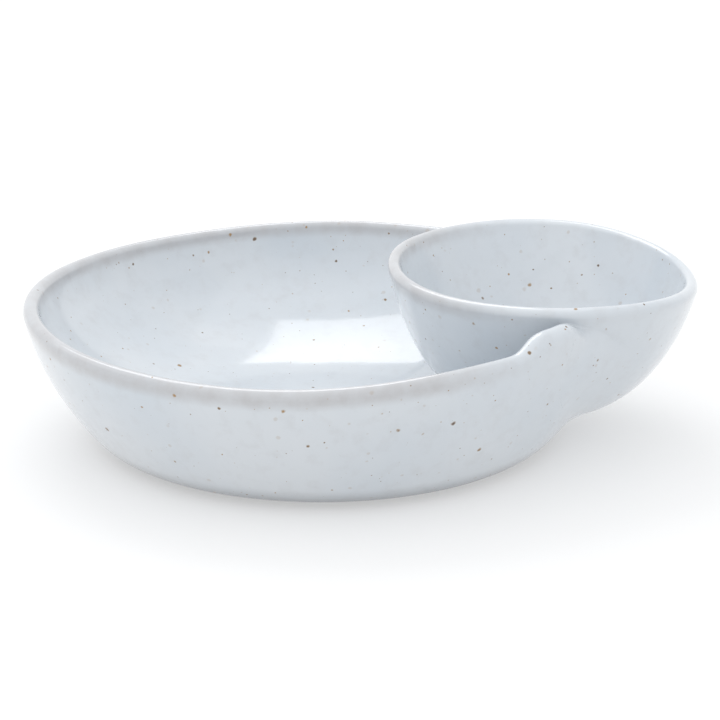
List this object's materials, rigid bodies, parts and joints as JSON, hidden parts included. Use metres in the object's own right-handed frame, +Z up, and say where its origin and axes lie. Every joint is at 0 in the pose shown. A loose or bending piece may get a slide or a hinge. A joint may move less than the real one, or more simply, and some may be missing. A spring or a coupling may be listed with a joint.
{
  "type": "chip and dip server",
  "caption": "Wide shallow round bowl for chips with a smaller, deeper dip bowl joined into one end of its rim; glazed speckled stoneware that stands on a low unglazed foot ring.",
  "frame": {"origin": "on the table, under the middle of the whole server's footprint", "axes": "+X along the server from the serving bowl towards the dip bowl, +Z up out of the bowls, +Y across"},
  "size_m": [0.285, 0.248, 0.0747],
  "materials": {
    "serving_bowl_glaze": "pale cool grey-white gloss glaze with fine iron-brown speckles",
    "dip_bowl_glaze": "pale cool grey-white gloss glaze with fine iron-brown speckles",
    "inner_seam_glaze": "the same gloss glaze, slightly thicker in the crease",
    "outer_seam_glaze": "the same gloss glaze, slightly thicker in the crease",
    "bare_foot_clay": "bare matte speckled stoneware"
  },
  "bodies": {
    "root": {"serving_bowl": "serving_bowl_glaze", "dip_bowl": "dip_bowl_glaze", "inner_seam_coil": "inner_seam_glaze", "outer_seam_coil": "outer_seam_glaze", "foot_ring": "bare_foot_clay"}
  },
  "joints": []
}
